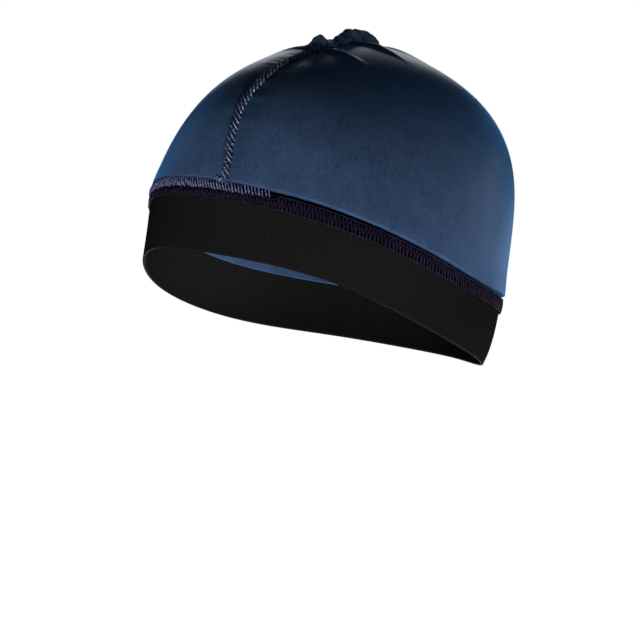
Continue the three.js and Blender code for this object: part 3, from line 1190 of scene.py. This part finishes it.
# Softboxes, low at the sides, so that the top of the crown stays dark. azimuth and
# elevation are degrees and say where a box stands, seen from the cap, as for the camera.
# power is in watts.
SOFTBOXES = (
    {"name": "front_low", "azimuth": 30, "elevation": -35, "power": 31},
    {"name": "left_side_low", "azimuth": 90, "elevation": -35, "power": 5},
    {"name": "left_low", "azimuth": 120, "elevation": -35, "power": 13.5},
    {"name": "left_high", "azimuth": 120, "elevation": 35, "power": 1.5},
    {"name": "back_left", "azimuth": 150, "elevation": 10, "power": 1.5},
    {"name": "back_rim", "azimuth": 180, "elevation": -12, "power": 1},
    {"name": "right_low", "azimuth": -60, "elevation": -35, "power": 6},
    {"name": "right_rim", "azimuth": -90, "elevation": 10, "power": 0.4},
    {"name": "right_high", "azimuth": -120, "elevation": 35, "power": 0.15},
    {"name": "overhead", "azimuth": 0, "elevation": 60, "power": 1},
    {"name": "back_low", "azimuth": 215, "elevation": -35, "power": 22},
    {"name": "back_high", "azimuth": 215, "elevation": 20, "power": 4},
)


def direction(azimuth, elevation):
    """Way from the cap, round from the front towards the wearer's left and up"""
    return Vector((
        math.sin(azimuth) * math.cos(elevation),
        -math.cos(azimuth) * math.cos(elevation),
        math.sin(elevation),
    ))


def add_camera(stage):
    back = direction(stage.azimuth, stage.elevation)
    level = Vector((math.cos(stage.azimuth), math.sin(stage.azimuth), 0))
    upright = back.cross(level)
    right = level * math.cos(stage.roll) + upright * math.sin(stage.roll)
    up = upright * math.cos(stage.roll) - level * math.sin(stage.roll)
    data = bpy.data.cameras.new("camera")
    data.sensor_width = SENSOR_SIDE
    data.lens = stage.scale / MM * stage.distance / IMAGE_SIDE * SENSOR_SIDE
    camera = bpy.data.objects.new("camera", data)
    turned = Matrix((right, up, back)).transposed()
    place = back * stage.distance - right * stage.aim_right - up * stage.aim_up
    camera.matrix_world = Matrix.Translation(place) @ turned.to_4x4()
    bpy.context.scene.collection.objects.link(camera)
    bpy.context.scene.camera = camera


def add_softbox(box):
    data = bpy.data.lights.new(box["name"], "AREA")
    data.shape = "SQUARE"
    data.size = SOFTBOX_SIDE
    data.energy = box["power"]
    light = bpy.data.objects.new(box["name"], data)
    towards = direction(math.radians(box["azimuth"]), math.radians(box["elevation"]))
    light.location = towards * SOFTBOX_DISTANCE
    light.rotation_mode = "QUATERNION"
    light.rotation_quaternion = towards.to_track_quat("Z", "Y")
    bpy.context.scene.collection.objects.link(light)


def add_floor(cap):
    """Wide white floor that glows evenly to the horizon, and takes no part in the light"""
    shape = bmesh.new()
    bmesh.ops.create_grid(shape, x_segments=1, y_segments=1, size=FLOOR_REACH)
    low = CAD_BOX[0].z - cap.stage.floor_drop
    bmesh.ops.translate(shape, verts=shape.verts, vec=(0, 0, low))
    floor = bpy.data.objects.new("floor", mesh_from(shape, "floor"))
    material, tree = new_material("white_card")
    shader = add_node(
        tree,
        "ShaderNodeBsdfPrincipled",
        {
            "Base Color": (*linear("#fafafa"), 1),
            "Roughness": 0.9,
            "Emission Color": (1, 1, 1, 1),
            "Emission Strength": 1,
        },
    )
    add_node(tree, "ShaderNodeOutputMaterial", links={"Surface": shader.outputs["BSDF"]})
    floor.data.materials.append(material)
    floor.visible_diffuse = False
    floor.visible_glossy = False
    floor.visible_shadow = False
    bpy.context.scene.collection.objects.link(floor)
    floor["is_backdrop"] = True


def light_room():
    """Walls that look white, and give the cap a weak light from the sides"""
    world = bpy.data.worlds.new("room")
    world.use_nodes = True
    tree = world.node_tree
    tree.nodes.clear()
    place = add_node(tree, "ShaderNodeTexCoord")
    parts = add_node(tree, "ShaderNodeSeparateXYZ", links={"Vector": place.outputs["Generated"]})
    shades = add_ramp(tree, parts.outputs["Z"], ROOM_TONES)
    glow = add_node(
        tree, "ShaderNodeBackground", {"Strength": ROOM_LIGHT}, {"Color": shades.outputs["Color"]}
    )
    white = add_node(tree, "ShaderNodeBackground", {"Color": (1, 1, 1, 1)})
    ray = add_node(tree, "ShaderNodeLightPath")
    walls = add_node(
        tree,
        "ShaderNodeMixShader",
        links={
            0: ray.outputs["Is Camera Ray"],
            1: glow.outputs["Background"],
            2: white.outputs["Background"],
        },
    )
    add_node(tree, "ShaderNodeOutputWorld", links={"Surface": walls.outputs["Shader"]})
    bpy.context.scene.world = world


class MakeStage(Operator):
    """Camera, softboxes, floor and room"""

    bl_idname = "wave_cap.make_stage"
    bl_label = "Make stage"

    def execute(self, context):
        cap = context.scene.wave_cap
        add_camera(cap.stage)
        for box in SOFTBOXES:
            add_softbox(box)
        add_floor(cap)
        light_room()
        context.scene.view_settings.view_transform = "Standard"
        return {"FINISHED"}


class WaveCapPanel(Panel):
    """Sizes of the cap, and a button for each of its parts"""

    bl_idname = "VIEW3D_PT_wave_cap"
    bl_label = "Wave Cap"
    bl_space_type = "VIEW_3D"
    bl_region_type = "UI"
    bl_category = "Wave Cap"

    def draw(self, context):
        cap = context.scene.wave_cap
        for group in ("form", "satin", "band", "seam", "stitching", "stage"):
            box = self.layout.box()
            box.label(text=group.capitalize())
            sizes = getattr(cap, group)
            for name in sizes.bl_rna.properties.keys():
                if name not in ("rna_type", "name"):
                    box.prop(sizes, name)
        for operator in OPERATORS:
            self.layout.operator(operator.bl_idname)


GROUPS = (FormSizes, SatinSizes, BandSizes, SeamSizes, StitchingSizes, StageSizes, WaveCapSizes)
OPERATORS = (MakeStage, MakeSatinPanels, MakeElasticBand, MakeCrownSeam, MakeJointStitching)


def register():
    for group in (*GROUPS, *OPERATORS, WaveCapPanel):
        bpy.utils.register_class(group)
    bpy.types.Scene.wave_cap = PointerProperty(type=WaveCapSizes)


def unregister():
    del bpy.types.Scene.wave_cap
    for group in reversed((*GROUPS, *OPERATORS, WaveCapPanel)):
        bpy.utils.unregister_class(group)


def main():
    register()
    bpy.ops.wave_cap.make_stage()
    bpy.ops.wave_cap.make_satin_panels()
    bpy.ops.wave_cap.make_elastic_band()
    bpy.ops.wave_cap.make_crown_seam()
    bpy.ops.wave_cap.make_joint_stitching()
    boxes = {"cad": CAD_BOX, "visual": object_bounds()}
    {name: [list(corner) for corner in box] for name, box in boxes.items()}


if __name__ == "__main__":
    main()
